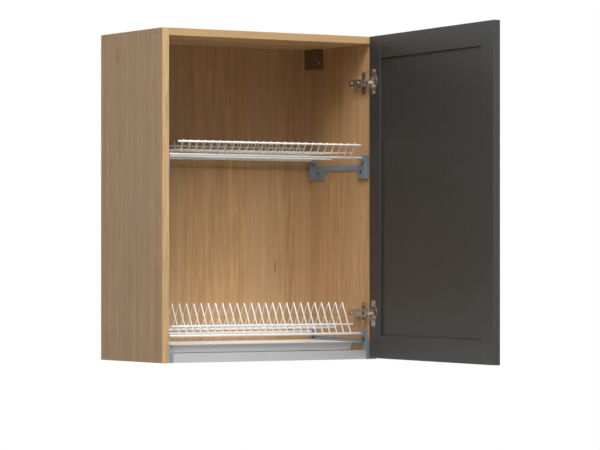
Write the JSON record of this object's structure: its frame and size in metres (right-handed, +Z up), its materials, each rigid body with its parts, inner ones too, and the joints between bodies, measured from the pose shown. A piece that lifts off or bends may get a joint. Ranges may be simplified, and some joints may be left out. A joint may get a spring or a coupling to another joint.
{
  "type": "dish drying cabinet",
  "caption": "Wall-hung dish drying cabinet with an open framed door on concealed hinges, wire cup rack and plate rack, drip tray and an open bottom.",
  "frame": {"origin": "middle of the top panel's rear edge, on the wall plane", "axes": "+X to the right seen from the front, +Y into the wall, +Z up"},
  "size_m": [0.6022, 0.9107, 0.788],
  "materials": {
    "oak_board": "oak decor on chipboard, satin",
    "oak_back": "oak decor on thin fibreboard, satin",
    "graphite_front": "graphite wood-grain foil on fibreboard, matt",
    "aluminium_profile": "anodised",
    "pressed_tray": "satin",
    "grey_plastic": "moulded",
    "coated_wire": "white coating on steel wire",
    "nickel_steel": "nickel plated",
    "zinc_screw": "zinc plated",
    "zinc_steel": "zinc plated",
    "capped_screw": "zinc plated screw with a wood-coloured cap",
    "brown_plastic": "moulded"
  },
  "bodies": {
    "cabinet": {"back_panel": "oak_back", "bracket_screw_left_lower_front": "zinc_screw", "bracket_screw_left_lower_rear": "zinc_screw", "bracket_screw_left_upper_front": "zinc_screw", "bracket_screw_left_upper_rear": "zinc_screw", "bracket_screw_right_lower_front": "zinc_screw", "bracket_screw_right_lower_rear": "zinc_screw", "bracket_screw_right_upper_front": "zinc_screw", "bracket_screw_right_upper_rear": "zinc_screw", "carcass_screw_left_front": "capped_screw", "carcass_screw_left_rear": "capped_screw", "carcass_screw_right_front": "capped_screw", "carcass_screw_right_rear": "capped_screw", "front_profile": "aluminium_profile", "hanger_housing_left": "brown_plastic", "hanger_housing_right": "brown_plastic", "hinge_arm_bottom": "nickel_steel", "hinge_arm_top": "nickel_steel", "hinge_pin_inner_bottom": "zinc_screw", "hinge_pin_inner_top": "zinc_screw", "hinge_pin_outer_bottom": "zinc_screw", "hinge_pin_outer_top": "zinc_screw", "hinge_plate_bottom": "nickel_steel", "hinge_plate_screw_lower_bottom": "zinc_screw", "hinge_plate_screw_lower_top": "zinc_screw", "hinge_plate_screw_upper_bottom": "zinc_screw", "hinge_plate_screw_upper_top": "zinc_screw", "hinge_plate_top": "nickel_steel", "lower_bracket_left": "grey_plastic", "lower_bracket_right": "grey_plastic", "rear_profile": "aluminium_profile", "side_panel_left": "oak_board", "side_panel_right": "oak_board", "top_panel": "oak_board", "upper_bracket_left": "grey_plastic", "upper_bracket_right": "grey_plastic"},
    "cup_rack": {"cup_rack": "coated_wire"},
    "plate_rack": {"plate_rack": "coated_wire"},
    "drip_tray": {"drip_tray": "pressed_tray"},
    "hinge_outer_links": {"outer_link_bottom": "nickel_steel", "outer_link_top": "nickel_steel"},
    "hinge_inner_links": {"inner_link_bottom": "nickel_steel", "inner_link_top": "nickel_steel"},
    "door": {"door_panel": "graphite_front", "door_rail_bottom": "graphite_front", "door_rail_top": "graphite_front", "door_stile_free": "graphite_front", "door_stile_hinge": "graphite_front", "hinge_cup_bottom": "nickel_steel", "hinge_cup_top": "nickel_steel"},
    "hanger_carriage_left": {"hanger_carriage_left": "zinc_steel"},
    "hanger_hook_left": {"hanger_hook_left": "zinc_steel"},
    "hanger_depth_screw_left": {"hanger_depth_screw_left": "zinc_steel"},
    "hanger_height_screw_left": {"hanger_height_screw_left": "zinc_steel"},
    "hanger_carriage_right": {"hanger_carriage_right": "zinc_steel"},
    "hanger_hook_right": {"hanger_hook_right": "zinc_steel"},
    "hanger_depth_screw_right": {"hanger_depth_screw_right": "zinc_steel"},
    "hanger_height_screw_right": {"hanger_height_screw_right": "zinc_steel"}
  },
  "joints": [
    {"name": "door_swing", "type": "hinge", "parent": "hinge_outer_links", "child": "door", "pos_m": [0.27415, -0.32466, -0.385], "axis": [0, 0, 1], "range_deg": [-132.4, 10.9]},
    {"name": "outer_link_swing", "type": "hinge", "parent": "cabinet", "child": "hinge_outer_links", "pos_m": [0.2663, -0.3009, -0.385], "axis": [0, 0, 1], "range_deg": [-3.95, 47.45]},
    {"name": "inner_link_swing", "type": "hinge", "parent": "cabinet", "child": "hinge_inner_links", "pos_m": [0.26335, -0.3087, -0.385], "axis": [0, 0, 1], "range_deg": [-3.93, 47.22]},
    {"name": "cup_rack_lift", "type": "slide", "parent": "cabinet", "child": "cup_rack", "axis": [0, 0, 1], "range_m": [0, 0.03]},
    {"name": "plate_rack_lift", "type": "slide", "parent": "cabinet", "child": "plate_rack", "axis": [0, 0, 1], "range_m": [0, 0.03]},
    {"name": "tray_slide", "type": "slide", "parent": "cabinet", "child": "drip_tray", "axis": [0, -1, 0], "range_m": [0, 0.17]},
    {"name": "hanger_height_screw_left", "type": "hinge", "parent": "cabinet", "child": "hanger_height_screw_left", "pos_m": [-0.2696, -0.0867, -0.0446], "axis": [0, 1, 0], "range_deg": [-84.31, 84.31]},
    {"name": "hanger_height_left", "type": "slide", "parent": "cabinet", "child": "hanger_carriage_left", "axis": [0, 0, 1], "range_m": [-0.005, 0.005]},
    {"name": "hanger_depth_screw_left", "type": "hinge", "parent": "hanger_carriage_left", "child": "hanger_depth_screw_left", "pos_m": [-0.273, -0.083, -0.02745], "axis": [0, 1, 0], "range_deg": [-1028.72, 1028.72]},
    {"name": "hanger_depth_left", "type": "slide", "parent": "hanger_carriage_left", "child": "hanger_hook_left", "axis": [0, 1, 0], "range_m": [-0.005, 0.005]},
    {"name": "hanger_height_screw_right", "type": "hinge", "parent": "cabinet", "child": "hanger_height_screw_right", "pos_m": [0.2696, -0.0867, -0.0446], "axis": [0, 1, 0], "range_deg": [-84.31, 84.31]},
    {"name": "hanger_height_right", "type": "slide", "parent": "cabinet", "child": "hanger_carriage_right", "axis": [0, 0, 1], "range_m": [-0.005, 0.005]},
    {"name": "hanger_depth_screw_right", "type": "hinge", "parent": "hanger_carriage_right", "child": "hanger_depth_screw_right", "pos_m": [0.273, -0.083, -0.02745], "axis": [0, 1, 0], "range_deg": [-1028.72, 1028.72]},
    {"name": "hanger_depth_right", "type": "slide", "parent": "hanger_carriage_right", "child": "hanger_hook_right", "axis": [0, 1, 0], "range_m": [-0.005, 0.005]}
  ],
  "couplings": [
    {"joint": "outer_link_swing", "follows": "door_swing", "ratio": -0.35801},
    {"joint": "inner_link_swing", "follows": "door_swing", "ratio": -0.35625},
    {"joint": "hanger_height_screw_left", "follows": "hanger_height_left", "rad_per_m": 294.12},
    {"joint": "hanger_depth_screw_left", "follows": "hanger_depth_left", "rad_per_m": 3590.4},
    {"joint": "hanger_height_screw_right", "follows": "hanger_height_right", "rad_per_m": -294.12},
    {"joint": "hanger_depth_screw_right", "follows": "hanger_depth_right", "rad_per_m": 3590.4}
  ]
}
